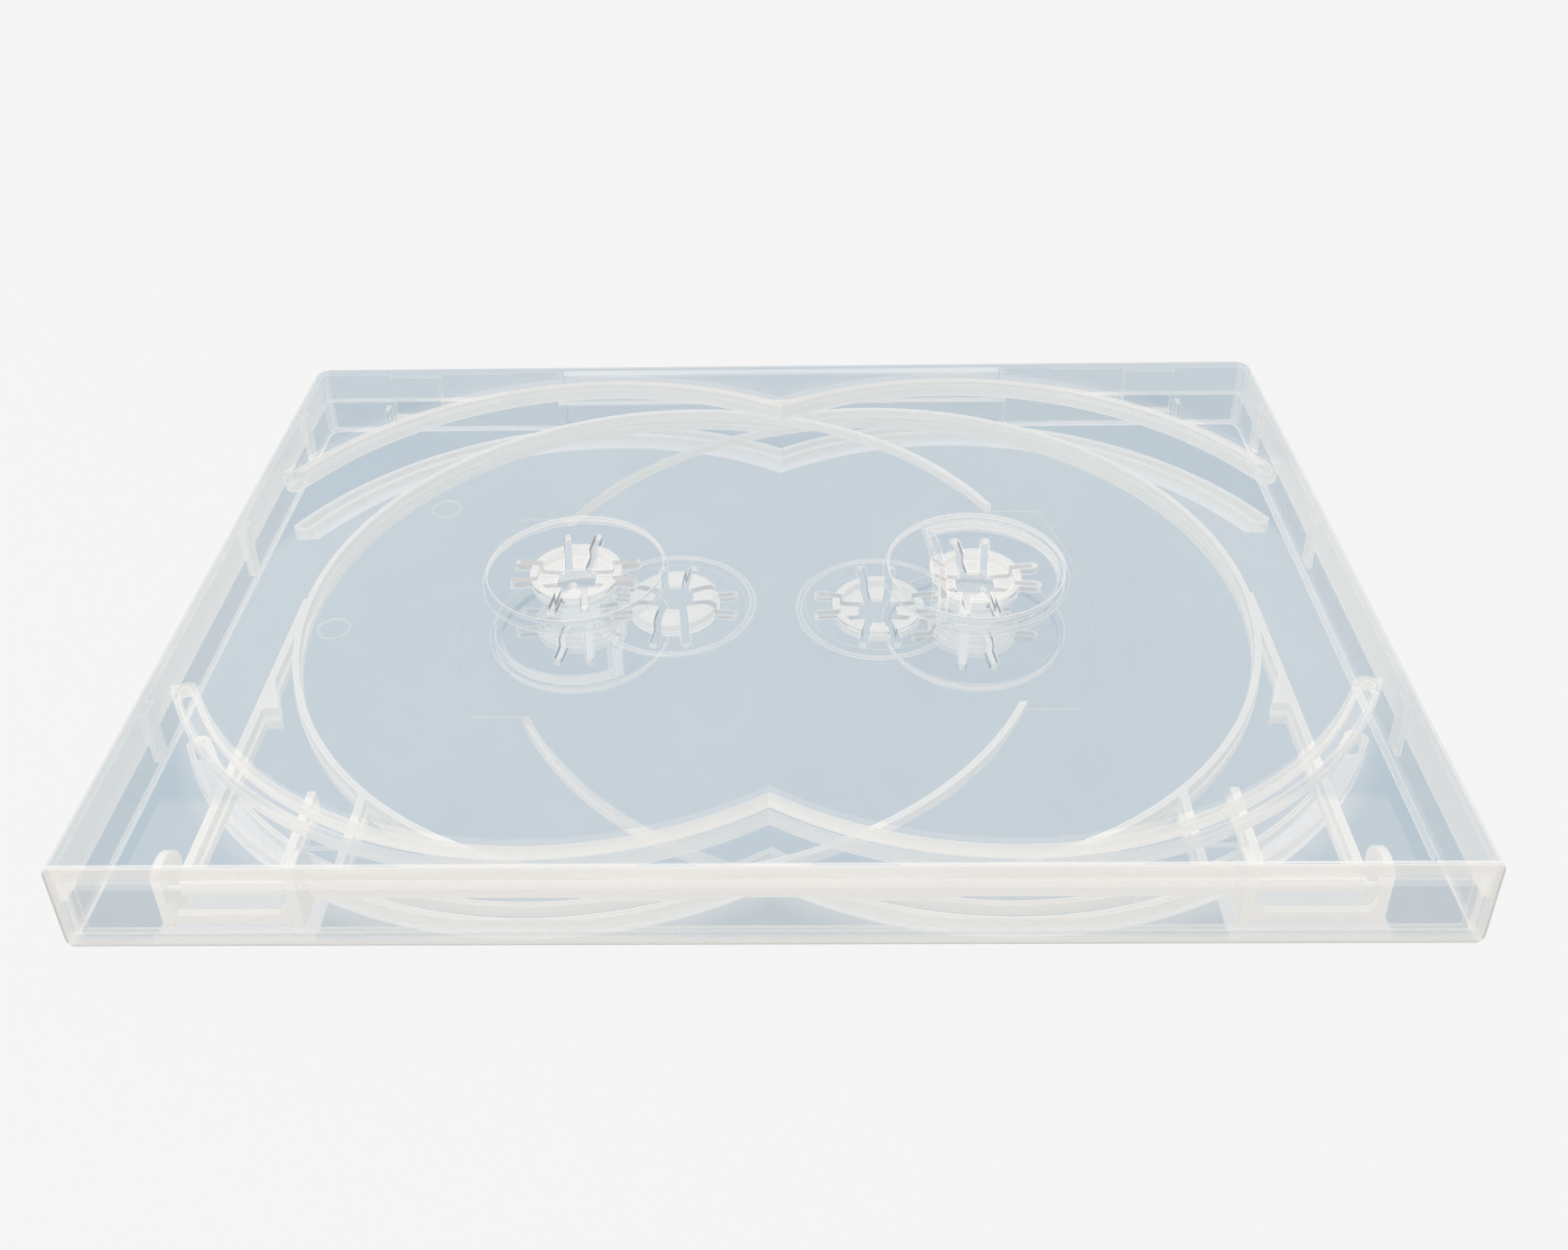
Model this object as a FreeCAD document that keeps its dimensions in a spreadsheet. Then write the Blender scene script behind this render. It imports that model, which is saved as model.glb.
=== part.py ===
import FreeCAD
import Part
import Sketcher
import os
import re

# Multi-disc storage case, closed and lying flat, spine towards -Y.
# Millimetres. X runs along the 190 mm spine, Y from the spine to the opening
# edge, Z up. The origin is the middle of the underside.

document = FreeCAD.newDocument("disc_case")
sheet = document.addObject("Spreadsheet::Sheet", "Dimensions")

sizes = {
    "case_length": 190.0,
    "case_width": 135.0,
    "case_thickness": 15.0,
    "skin": 1.2,
    "wall": 1.2,
    "mating_gap": 0.05,
    "corner_radius": 3.0,
    "edge_radius": 1.5,
    "spine_gap": 0.15,
    "mitre_gap": 0.1,
    "disc_radius": 60.0,
    "disc_play": 0.6,
    "disc_row": -1.8,
    "ridge_play": 1.0,
    "ridge_width": 3.6,
    "ridge_rise": 2.0,
    "ridge_wall": 0.8,
    "ridge_stop": 29.5,
    "low_rest": 2.2,
    "high_rest": 3.7,
    "hub_radius": 7.4,
    "hub_height": 1.7,
    "hub_hole": 3.3,
    "rest_radius": 15.5,
    "slot_reach": 9.9,
    "slot_width": 1.3,
    "slot_apart": 1.3,
    "slot_angle": 7.5,
    "cap_height": 0.6,
    "cap_taper": 0.9,
    "draft_width": 2.4,
    "tray_row": -3.2,
    "tray_half": 0.4,
    "tray_play": 0.6,
    "tray_rim_wall": 1.0,
    "tray_end_room": 16.4,
    "rim_half": 2.1,
    "front_rim_half": 2.3,
    "tray_wall": 1.2,
    "rim_round": 1.5,
    "tooth_row": 24.0,
    "tooth_length": 6.5,
    "tooth_reach": 2.6,
    "pad_step": 0.25,
    "tray_rest": 0.7,
    "flange_radius": 13.5,
    "flange_lip": 0.7,
    "lip_rise": 0.25,
    "finger_gap": 26.6,
    "finger_radius": 69.0,
    "pivot_inset": 4.2,
    "pin_radius": 1.0,
    "bore_radius": 1.05,
    "cheek_radius": 4.4,
    "bracket_inset": 13.0,
    "bracket_length": 19.0,
    "cheek_wall": 1.2,
    "cheek_play": 0.6,
    "side_play": 1.7,
    "cup_floor": 2.6,
    "cup_rise": 1.6,
    "cup_setback": 1.7,
    "cup_wall": 1.0,
    "cup_gusset": 2.0,
    "rim_play": 1.0,
    "latch_inset": 15.4,
    "latch_length": 9.8,
    "latch_toe": 0.5,
    "toe_height": 0.9,
    "tongue_reach": 3.2,
    "tongue_width": 3.0,
    "tongue_play": 0.35,
    "tongue_inner": 1.2,
    "latch_inner": 1.3,
    "root_inset": 0.6,
    "tongue_back": 17.5,
    "tongue_middle": 55.5,
    "tongue_front": 32.5,
    "line_inset": 8.4,
    "line_width": 0.4,
    "line_start": 2.0,
    "line_end": 26.5,
    "rib_inset": 13.4,
    "rib_width": 0.8,
    "rib_reach": 3.4,
    "leg_front": 3.0,
    "leg_back": 3.4,
    "band_play": 0.4,
    "low_band": 0.6,
    "high_band": 2.9,
    "notch_half": 44.5,
    "notch_depth": 2.0,
    "notch_lip": 1.4,
}

for line, (word, number) in enumerate(sizes.items(), start=1):
    sheet.set("A%d" % line, word)
    sheet.set("B%d" % line, str(number))
    sheet.setAlias("B%d" % line, word)
document.recompute()

# Places that follow from the sizes
derived = {
    "half_depth": "(case_thickness / 2 - mating_gap)",
    "ridge_inner": "(disc_radius + ridge_play)",
    "ridge_outer": "(disc_radius + ridge_play + ridge_width)",
    "ridge_top": "(skin + ridge_rise)",
    "disc_offset": "(case_length / 2 - wall - disc_play - disc_radius)",
    "tray_mid": "(case_thickness / 2)",
    "tray_recess": "(disc_radius + tray_play)",
    "tray_rim": "(disc_radius + tray_play + tray_rim_wall)",
    "tray_offset": "(case_length / 2 - tray_end_room - disc_radius - tray_play - tray_rim_wall)",
    "pivot_row": "(-case_width / 2 + pivot_inset)",
    "bracket_outer": "(case_length / 2 - bracket_inset)",
    "bracket_inner": "(case_length / 2 - bracket_inset - bracket_length)",
    "tray_side": "(case_length / 2 - bracket_inset - cheek_wall - side_play)",
    "tray_near": "(case_length / 2 - bracket_inset - bracket_length + cheek_wall + cheek_play)",
    "rim_end": "(case_length / 2 - bracket_inset - bracket_length - rim_play)",
    "tongue_tip": "(case_thickness / 2 + tongue_reach)",
}


def cells(text):
    # Spells out the derived places and puts the sheet's name before each alias.
    def word(found):
        if found.group(0) in derived:
            return cells(derived[found.group(0)])
        if found.group(0) in sizes:
            return "Dimensions." + found.group(0)
        return found.group(0)

    return re.sub(r"(?<!\.)\b[a-z][a-z_]+\b", word, str(text))


def bind(thing, path, formula):
    thing.setExpression(path, cells(formula))


def box(name, x0, x1, y0, y1, z0, z1):
    thing = document.addObject("Part::Box", name)
    bind(thing, "Length", "(%s) - (%s)" % (x1, x0))
    bind(thing, "Width", "(%s) - (%s)" % (y1, y0))
    bind(thing, "Height", "(%s) - (%s)" % (z1, z0))
    bind(thing, "Placement.Base.x", x0)
    bind(thing, "Placement.Base.y", y0)
    bind(thing, "Placement.Base.z", z0)
    return thing


def cylinder(name, x, y, z0, z1, radius):
    thing = document.addObject("Part::Cylinder", name)
    bind(thing, "Radius", radius)
    bind(thing, "Height", "(%s) - (%s)" % (z1, z0))
    bind(thing, "Placement.Base.x", x)
    bind(thing, "Placement.Base.y", y)
    bind(thing, "Placement.Base.z", z0)
    return thing


def cone(name, x, y, z0, z1, low, high):
    thing = document.addObject("Part::Cone", name)
    bind(thing, "Radius1", low)
    bind(thing, "Radius2", high)
    bind(thing, "Height", "(%s) - (%s)" % (z1, z0))
    bind(thing, "Placement.Base.x", x)
    bind(thing, "Placement.Base.y", y)
    bind(thing, "Placement.Base.z", z0)
    return thing


def rod(name, x0, x1, y, z, radius):
    # A cylinder that lies along X.
    thing = document.addObject("Part::Cylinder", name)
    thing.Placement = FreeCAD.Placement(
        FreeCAD.Vector(0, 0, 0), FreeCAD.Rotation(FreeCAD.Vector(0, 1, 0), 90)
    )
    bind(thing, "Radius", radius)
    bind(thing, "Height", "(%s) - (%s)" % (x1, x0))
    bind(thing, "Placement.Base.x", x0)
    bind(thing, "Placement.Base.y", y)
    bind(thing, "Placement.Base.z", z)
    return thing


def taper(name, near, far, y0, y1, z0, z1):
    # A block whose X span changes from near, at y0, to far, at y1.
    thing = document.addObject("Part::Wedge", name)
    for path, formula in (
        ("Xmin", near[0]), ("Xmax", near[1]), ("X2min", far[0]), ("X2max", far[1]),
        ("Ymin", y0), ("Ymax", y1),
        ("Zmin", z0), ("Zmax", z1), ("Z2min", z0), ("Z2max", z1),
    ):
        bind(thing, path, formula)
    return thing


def standing_taper(name, low, high, y0, y1, z0, z1):
    # The same, with its X span changing from low, at z0, to high, at z1.
    thing = taper(name, low, high, z0, z1, "-(%s)" % y1, "-(%s)" % y0)
    thing.Placement = FreeCAD.Placement(
        FreeCAD.Vector(0, 0, 0), FreeCAD.Rotation(FreeCAD.Vector(1, 0, 0), 90)
    )
    return thing


def fuse(name, things):
    if len(things) == 1:
        return things[0]
    joined = document.addObject("Part::MultiFuse", name)
    joined.Shapes = things
    return joined


def common(name, things):
    shared = document.addObject("Part::MultiCommon", name)
    shared.Shapes = things
    return shared


def cut(name, base, tools):
    if isinstance(tools, list):
        tools = fuse(name + "_tools", tools)
    result = document.addObject("Part::Cut", name)
    result.Base = base
    result.Tool = tools
    return result


def ground_plane(body, role):
    for feature in body.Origin.OriginFeatures:
        if feature.Role == role:
            return feature
    raise RuntimeError("no plane " + role)


def rectangle(body, name, x0, x1, y0, y1, level):
    # A rectangle on the body's ground plane, lifted to a level.
    sketch = body.newObject("Sketcher::SketchObject", name)
    sketch.AttachmentSupport = [(ground_plane(body, "XY_Plane"), "")]
    sketch.MapMode = "FlatFace"
    bind(sketch, "AttachmentOffset.Base.z", level)
    corner = [(-10, -10), (10, -10), (10, 10), (-10, 10)]
    for start in range(4):
        a = corner[start]
        b = corner[(start + 1) % 4]
        sketch.addGeometry(
            Part.LineSegment(FreeCAD.Vector(a[0], a[1], 0), FreeCAD.Vector(b[0], b[1], 0)), False,
        )
    for start in range(4):
        sketch.addConstraint(Sketcher.Constraint("Coincident", start, 2, (start + 1) % 4, 1))
    for side, kind in ((0, "Horizontal"), (1, "Vertical"), (2, "Horizontal"), (3, "Vertical")):
        sketch.addConstraint(Sketcher.Constraint(kind, side))
    for kind, line, point, formula in (
        ("DistanceX", 0, 1, x0),
        ("DistanceY", 0, 1, y0),
        ("DistanceX", 2, 1, x1),
        ("DistanceY", 2, 1, y1),
    ):
        start = -10 if point == 1 and line == 0 else 10
        number = sketch.addConstraint(Sketcher.Constraint(kind, -1, 1, line, point, start))
        bind(sketch, "Constraints[%d]" % number, formula)
    return sketch


def mirrored(side, near, far):
    # The two ends of a span on one side of the case or the other.
    return (near, far) if side > 0 else ("-(%s)" % far, "-(%s)" % near)


def edges_where(feature, test):
    names = []
    for place, edge in enumerate(feature.Shape.Edges, start=1):
        if test(edge):
            names.append("Edge%d" % place)
    return names


def upright(edge):
    ends = edge.Vertexes
    if len(ends) != 2:
        return False
    a = ends[0].Point
    b = ends[1].Point
    return abs(a.x - b.x) < 0.01 and abs(a.y - b.y) < 0.01 and abs(a.z - b.z) > 1


def shell(name):
    # The moulded tray shape of one cover: skin, two side walls and the wall at
    # the opening edge, with the spine side left open.
    body = document.addObject("PartDesign::Body", name)
    outline = rectangle(
        body, name + "_outline", "-case_length / 2", "case_length / 2", "-case_width / 2",
        "case_width / 2", "0"
    )
    block = body.newObject("PartDesign::Pad", name + "_block")
    block.Profile = outline
    bind(block, "Length", "half_depth")
    document.recompute()
    rounded = body.newObject("PartDesign::Fillet", name + "_corners")
    rounded.Base = (
        block,
        edges_where(block, lambda edge: upright(edge) and edge.Vertexes[0].Point.y > 0),
    )
    bind(rounded, "Radius", "corner_radius")
    document.recompute()
    softened = body.newObject("PartDesign::Fillet", name + "_edges")
    softened.Base = (
        rounded,
        edges_where(
            rounded,
            lambda edge: edge.BoundBox.ZMax < 0.01 and edge.BoundBox.YMax > 1 - sizes["case_width"] / 2,
        ),
    )
    bind(softened, "Radius", "edge_radius")
    document.recompute()
    inside = rectangle(
        body,
        name + "_inside",
        "-case_length / 2 + wall",
        "case_length / 2 - wall",
        "-case_width / 2 - 4",
        "case_width / 2 - wall",
        "skin",
    )
    hollow = body.newObject("PartDesign::Pocket", name + "_hollow")
    hollow.Profile = inside
    hollow.Type = 0
    bind(hollow, "Length", "half_depth")
    hollow.Reversed = True
    document.recompute()
    before = softened.Shape.Volume
    if hollow.Shape.Volume > before - 1000:
        raise RuntimeError("the hollow of " + name + " cuts nothing")
    return body


def hub_slots(name, x, y, z0, z1, short=""):
    # Eight narrow slots in four splayed pairs free the sprung fingers. Each
    # starts in the middle hole and has a round end. A short side keeps its
    # slots inside the pedestal.
    slots = []
    for quarter, (along, across) in enumerate(((1, 0), (0, 1), (-1, 0), (0, -1))):
        for side in (1, -1):
            label = "%s_slot_%d_%s" % (name, quarter, "left" if side > 0 else "right")
            turn = "(%d + %d * %s) * 1deg" % (90 * quarter, side, cells("slot_angle"))
            foot_x = cells("%s - %d * slot_apart" % (x, side * across))
            foot_y = cells("%s + %d * slot_apart" % (y, side * along))
            half = cells("slot_width / 2")
            reach = cells("slot_reach")
            bar = box(label, "0", "slot_reach", "0", "slot_width", z0, z1)
            bar.Placement.Rotation = FreeCAD.Rotation(FreeCAD.Vector(0, 0, 1), 30)
            bar.setExpression("Placement.Rotation.Angle", turn)
            bar.setExpression("Placement.Base.x", "%s + %s * sin(%s)" % (foot_x, half, turn))
            bar.setExpression("Placement.Base.y", "%s - %s * cos(%s)" % (foot_y, half, turn))
            end = cylinder(label + "_end", "0", "0", z0, z1, "slot_width / 2")
            end.setExpression("Placement.Base.x", "%s + %s * cos(%s)" % (foot_x, reach, turn))
            end.setExpression("Placement.Base.y", "%s + %s * sin(%s)" % (foot_y, reach, turn))
            slots.extend([bar, end])
    slots = fuse(name + "_slots", slots)
    if short:
        keep = box(
            name + "_keep", "%s - 2 * slot_reach" % x, "%s + %s" % (x, short),
            "%s - 2 * slot_reach" % y, "%s + 2 * slot_reach" % y, z0, z1,
        )
        slots = common(name + "_slots_short", [slots, keep])
    return slots


def disc_circles(name, radius, z0, z1, row="disc_row", offset="disc_offset"):
    return fuse(
        name,
        [
            cylinder(name + "_right", offset, row, z0, z1, radius),
            cylinder(name + "_left", "-" + offset, row, z0, z1, radius),
        ],
    )


def cover_solid(name, front):
    # Built with its outer face down at z = 0. The low hub is on the +X side.
    adds = []
    body = shell(name + "_shell")
    adds.append(body)

    # Curved ridges round the two disc circles, meeting in a V at the middle
    ridge_block = cut(
        name + "_ridge_block",
        disc_circles(name + "_ridge_out", "ridge_outer", "skin - 0.3", "ridge_top"),
        [
            disc_circles(name + "_ridge_in", "ridge_inner", "skin - 1", "ridge_top + 1"),
            box(
                name + "_ridge_gap", "-case_length", "case_length", "disc_row - ridge_stop",
                "disc_row + ridge_stop", "skin - 1",
                "ridge_top + 1",
            ),
        ],
    )
    groove = cut(
        name + "_groove_block",
        disc_circles(name + "_groove_out", "ridge_outer - ridge_wall", "skin", "ridge_top + 1"),
        [
            disc_circles(
                name + "_groove_in", "ridge_inner + ridge_wall", "skin - 1", "ridge_top + 2",
            ),
            box(
                name + "_groove_gap", "-case_length", "case_length", "disc_row - ridge_stop",
                "disc_row + ridge_stop", "skin - 1",
                "ridge_top + 2",
            ),
        ],
    )
    caps = []
    cores = []
    reach = "sqrt(((ridge_inner + ridge_outer) / 2) ^ 2 - ridge_stop ^ 2)"
    for side in (1, -1):
        for end in (1, -1):
            label = "%s_end_%s_%s" % (
                name, "right" if side > 0 else "left", "back" if end > 0 else "front",
            )
            x = "%d * (disc_offset + %s)" % (side, reach)
            y = "disc_row + %d * ridge_stop" % end
            caps.append(
                cylinder(label, x, y, "skin - 0.3", "ridge_top", "(ridge_outer - ridge_inner) / 2")
            )
            cores.append(
                cylinder(
                    label + "_core", x, y, "skin", "ridge_top + 1",
                    "(ridge_outer - ridge_inner) / 2 - ridge_wall",
                )
            )
    ridges = cut(
        name + "_ridges", fuse(name + "_ridge_ends", [ridge_block] + caps), [groove] + cores,
    )
    room = box(
        name + "_ridge_room", "-case_length / 2 + wall / 2", "case_length / 2 - wall / 2",
        "-case_width / 2 + 1.65",
        "case_width / 2 - wall / 2", "0", "case_thickness",
    )
    adds.append(common(name + "_ridges_inside", [ridges, room]))

    # Low hub
    low_x = "disc_offset"
    high_x = "-disc_offset"
    adds.append(cylinder(name + "_low_boss", low_x, "disc_row", "0.5", "low_rest", "rest_radius"))
    adds.append(
        cylinder(
            name + "_low_ring", low_x, "disc_row", "0.5", "low_rest + hub_height - cap_height",
            "hub_radius",
        )
    )
    adds.append(
        cone(
            name + "_low_cap", low_x, "disc_row", "low_rest + hub_height - cap_height",
            "low_rest + hub_height", "hub_radius",
            "hub_radius - cap_taper",
        )
    )
    # Raised hub on its D-shaped pedestal
    adds.append(
        cylinder(name + "_high_boss", high_x, "disc_row", "0.5", "low_rest - 0.2", "rest_radius")
    )
    pedestal = cut(
        name + "_pedestal",
        fuse(
            name + "_pedestal_round",
            [
                cylinder(
                    name + "_high_boss2", high_x, "disc_row", "0.5", "high_rest",
                    "rest_radius - 0.9",
                ),
                cylinder(
                    name + "_high_ring", high_x, "disc_row", "0.5",
                    "high_rest + hub_height - cap_height", "hub_radius"
                ),
                cone(
                    name + "_high_cap", high_x, "disc_row", "high_rest + hub_height - cap_height",
                    "high_rest + hub_height",
                    "hub_radius", "hub_radius - cap_taper",
                ),
            ],
        ),
        [
            cylinder(
                name + "_pedestal_side", low_x, "disc_row", "0", "case_thickness",
                "disc_radius + 0.4",
            )
        ],
    )
    adds.append(pedestal)

    # Grip recess in the opening edge: its inner wall steps inwards
    adds.append(
        box(
            name + "_grip_wall", "-notch_half - wall", "notch_half + wall",
            "case_width / 2 - notch_depth - wall", "case_width / 2 - root_inset", "skin - 0.4",
            "half_depth",
        )
    )

    if front:
        # Latch tongues, guide tongues and a thin stiffening line
        for side in (1, -1):
            tag = "right" if side > 0 else "left"
            x0, x1 = mirrored(
                side, "case_length / 2 - latch_inset - latch_length",
                "case_length / 2 - latch_inset",
            )
            adds.append(
                box(
                    "%s_latch_%s" % (name, tag), x0, x1, "case_width / 2 - wall - latch_inner",
                    "case_width / 2 - wall - tongue_play",
                    "0.9", "tongue_tip",
                )
            )
            adds.append(
                box(
                    "%s_latch_root_%s" % (name, tag), x0, x1, "case_width / 2 - wall - latch_inner",
                    "case_width / 2 - root_inset", "0.9",
                    "half_depth - 0.2",
                )
            )
            adds.append(
                box(
                    "%s_latch_toe_%s" % (name, tag), x0, x1,
                    "case_width / 2 - wall - latch_inner - latch_toe",
                    "case_width / 2 - wall - 1", "tongue_tip - toe_height", "tongue_tip",
                )
            )
            for place, y in (
                ("back", "case_width / 2 - tongue_back"),
                ("middle", "case_width / 2 - tongue_middle"),
                ("front", "-case_width / 2 + tongue_front"),
            ):
                y0 = "%s - tongue_width / 2" % y
                y1 = "%s + tongue_width / 2" % y
                a = "case_length / 2 - wall - tongue_inner"
                x0, x1 = mirrored(side, a, "case_length / 2 - wall - tongue_play")
                adds.append(
                    box("%s_tongue_%s_%s" % (name, tag, place), x0, x1, y0, y1, "0.9", "tongue_tip")
                )
                x0, x1 = mirrored(side, a, "case_length / 2 - root_inset")
                adds.append(
                    box(
                        "%s_tongue_root_%s_%s" % (name, tag, place), x0, x1, y0, y1, "0.9",
                        "half_depth - 0.2",
                    )
                )
            x0, x1 = mirrored(
                side, "case_length / 2 - line_inset - line_width", "case_length / 2 - line_inset",
            )
            adds.append(
                box(
                    "%s_line_%s" % (name, tag), x0, x1, "-case_width / 2 + line_start", "line_end",
                    "0.9", "skin + line_width",
                )
            )
    else:
        # Small ribs behind the opening wall, and the brackets of the tray
        for side in (1, -1):
            tag = "right" if side > 0 else "left"
            x0, x1 = mirrored(
                side, "case_length / 2 - rib_inset - rib_width", "case_length / 2 - rib_inset",
            )
            adds.append(
                box(
                    "%s_rib_%s" % (name, tag), x0, x1, "case_width / 2 - rib_reach",
                    "case_width / 2 - root_inset", "0.9",
                    "half_depth - 1",
                )
            )
            cheeks = []
            for place, start in (("near", "bracket_inner"), ("far", "bracket_outer - cheek_wall")):
                x0, x1 = mirrored(side, start, "%s + cheek_wall" % start)
                label = "%s_cheek_%s_%s" % (name, tag, place)
                cheeks.append(rod(label, x0, x1, "pivot_row", "tray_mid", "cheek_radius"))
                cheeks.append(
                    box(
                        label + "_leg", x0, x1, "pivot_row - leg_front", "pivot_row + leg_back",
                        "0.8", "tray_mid",
                    )
                )
            trimmed = cut(
                "%s_cheeks_%s" % (name, tag),
                fuse("%s_cheeks_full_%s" % (name, tag), cheeks),
                [
                    box(
                        "%s_cheek_trim_%s" % (name, tag), "-case_length", "case_length",
                        "-case_width",
                        "-case_width / 2 + cup_setback", "-1", "2 * case_thickness",
                    )
                ],
            )
            adds.append(trimmed)
            x0, x1 = mirrored(side, "bracket_inner", "bracket_outer")
            front = "-case_width / 2 + cup_setback"
            behind = "-case_width / 2 + cup_setback + cup_wall"
            adds.append(
                box(
                    "%s_cup_%s" % (name, tag), x0, x1, front, behind, "cup_floor",
                    "cup_floor + cup_rise",
                )
            )
            # Sloping corners stiffen the cup on both sides
            for place, start, reach in (
                ("near", "bracket_inner + cheek_wall / 2", "cheek_wall / 2 + cup_gusset"),
                ("far", "bracket_outer - cheek_wall / 2", "-cheek_wall / 2 - cup_gusset / 2"),
            ):
                a = "%s" % start
                b = "%s + %s" % (start, reach)
                thin = "%s + (%s) / 4" % (start, reach)
                if place == "far":
                    a, b = b, a
                    low = mirrored(side, a, b)
                    high = mirrored(side, thin, b)
                else:
                    low = mirrored(side, a, b)
                    high = mirrored(side, a, thin)
                adds.append(
                    standing_taper(
                        "%s_gusset_%s_%s" % (name, tag, place), low, high, front, behind,
                        "cup_floor + cup_rise - 0.1", "cup_floor + cup_rise + cup_gusset",
                    )
                )

    whole = fuse(name + "_adds", adds)

    cuts = []
    # The hubs are hollow from outside, so that the wall stays even
    cuts.append(
        cylinder(
            name + "_low_pocket", low_x, "disc_row", "-1", "low_rest - skin", "rest_radius - 1",
        )
    )
    cuts.append(
        cylinder(
            name + "_low_core", low_x, "disc_row", "-1", "low_rest + hub_height - 1.2",
            "hub_radius - 1",
        )
    )
    cuts.append(
        cylinder(
            name + "_high_pocket", high_x, "disc_row", "-1", "low_rest - 0.2 - skin",
            "rest_radius - 1",
        )
    )
    deep = cut(
        name + "_high_deep",
        fuse(
            name + "_high_deep_round",
            [
                cylinder(
                    name + "_high_deep_ring", high_x, "disc_row", "-1", "high_rest - skin",
                    "rest_radius - 1.9",
                ),
                cylinder(
                    name + "_high_deep_core", high_x, "disc_row", "-1",
                    "high_rest + hub_height - 1.2", "hub_radius - 1"
                ),
            ],
        ),
        [
            cone(
                name + "_high_deep_slope", low_x, "disc_row", "low_rest - 0.2 - skin",
                "low_rest - 0.2",
                "disc_radius + 1.6 - draft_width", "disc_radius + 1.6",
            ),
            cylinder(
                name + "_high_deep_side", low_x, "disc_row", "low_rest - 0.2", "case_thickness",
                "disc_radius + 1.6"
            ),
        ],
    )
    cuts.append(deep)
    for place, x, rest in (("low", low_x, "low_rest"), ("high", high_x, "high_rest")):
        top = "%s + hub_height + 1" % rest
        cuts.append(cylinder("%s_%s_hole" % (name, place), x, "disc_row", "-1", top, "hub_hole"))
        cuts.append(
            cone(
                "%s_%s_dish" % (name, place), x, "disc_row", "%s + hub_height - cap_height" % rest,
                "%s + hub_height + 0.1" % rest, "hub_hole - 0.3", "hub_radius - 1.6",
            )
        )
        cuts.append(
            hub_slots(
                "%s_%s" % (name, place), x, "disc_row", "-1", top,
                "hub_radius - 0.4" if place == "high" else "",
            )
        )
    # Outside of the grip recess
    cuts.append(
        box(
            name + "_grip", "-notch_half", "notch_half", "case_width / 2 - notch_depth",
            "case_width / 2 + 2",
            "notch_lip", "case_thickness",
        )
    )
    # The spine's edge is mitred, with the side walls stopped short of the spine
    cuts.append(
        box(
            name + "_front_stop", "-case_length", "case_length", "-case_width",
            "-case_width / 2 + skin + spine_gap",
            "skin + 0.05", "2 * case_thickness",
        )
    )
    wedge = document.addObject("Part::Box", name + "_mitre")
    wedge.Placement = FreeCAD.Placement(
        FreeCAD.Vector(0, 0, 0), FreeCAD.Rotation(FreeCAD.Vector(1, 0, 0), 45)
    )
    bind(wedge, "Length", "2 * case_length")
    bind(wedge, "Width", "8")
    bind(wedge, "Height", "8")
    bind(wedge, "Placement.Base.x", "-case_length")
    wedge.setExpression("Placement.Base.y", "-Dimensions.case_width / 2 + Dimensions.mitre_gap - 2")
    wedge.setExpression("Placement.Base.z", "-2")
    slope = cut(
        name + "_mitre_tool",
        wedge,
        [
            box(
                name + "_mitre_stop", "-2 * case_length", "2 * case_length", "-case_width", "0",
                "skin + 0.05",
                "2 * case_thickness",
            )
        ],
    )
    cuts.append(slope)
    return cut(name, whole, cuts)


back_cover = cover_solid("back_cover", False)
back_cover.Label = "back_cover"

front_cover = cover_solid("front_cover", True)
front_cover.Label = "front_cover"
front_cover.Placement = FreeCAD.Placement(
    FreeCAD.Vector(0, 0, 15), FreeCAD.Rotation(FreeCAD.Vector(0, 1, 0), 180)
)
bind(front_cover, "Placement.Base.z", "case_thickness")

# Spine: a thin window framed by thicker bands beside the two folds
panel = document.addObject("Part::Box", "spine_panel")
bind(panel, "Length", "case_length")
bind(panel, "Width", "skin")
bind(panel, "Height", "case_thickness")
bind(panel, "Placement.Base.x", "-case_length / 2")
bind(panel, "Placement.Base.y", "-case_width / 2")
document.recompute()
panel_round = document.addObject("Part::Fillet", "spine_round")
panel_round.Base = panel
round_edges = []
for place, edge in enumerate(panel.Shape.Edges, start=1):
    ends = edge.Vertexes
    if abs(ends[0].Point.x - ends[1].Point.x) < 0.01 and abs(ends[0].Point.z - ends[1].Point.z) < 0.01:
        round_edges.append((place, sizes["edge_radius"], sizes["edge_radius"]))
panel_round.Edges = round_edges
band_inset = "(wall + band_play)"
band_front = "-case_width / 2 + 1"
band_back = "-case_width / 2 + 1.6"
low_edge = "skin + 0.2"
high_edge = "case_thickness - skin - 0.2"
far_end = "case_length / 2 - %s" % band_inset
near_end = "case_length / 2 - wall - %s" % band_inset
bands = [
    box(
        "spine_low_band", "-(%s)" % far_end, far_end, band_front, band_back, low_edge,
        low_edge + " + low_band",
    ),
    box(
        "spine_high_band", "-(%s)" % far_end, far_end, band_front, band_back,
        high_edge + " - high_band", high_edge,
    ),
]
for side in (1, -1):
    x0, x1 = mirrored(side, near_end, far_end)
    tag = "right" if side > 0 else "left"
    bands.append(box("spine_end_band_" + tag, x0, x1, band_front, band_back, low_edge, high_edge))
spine_whole = fuse("spine_whole", [panel_round] + bands)
mitres = []
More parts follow.
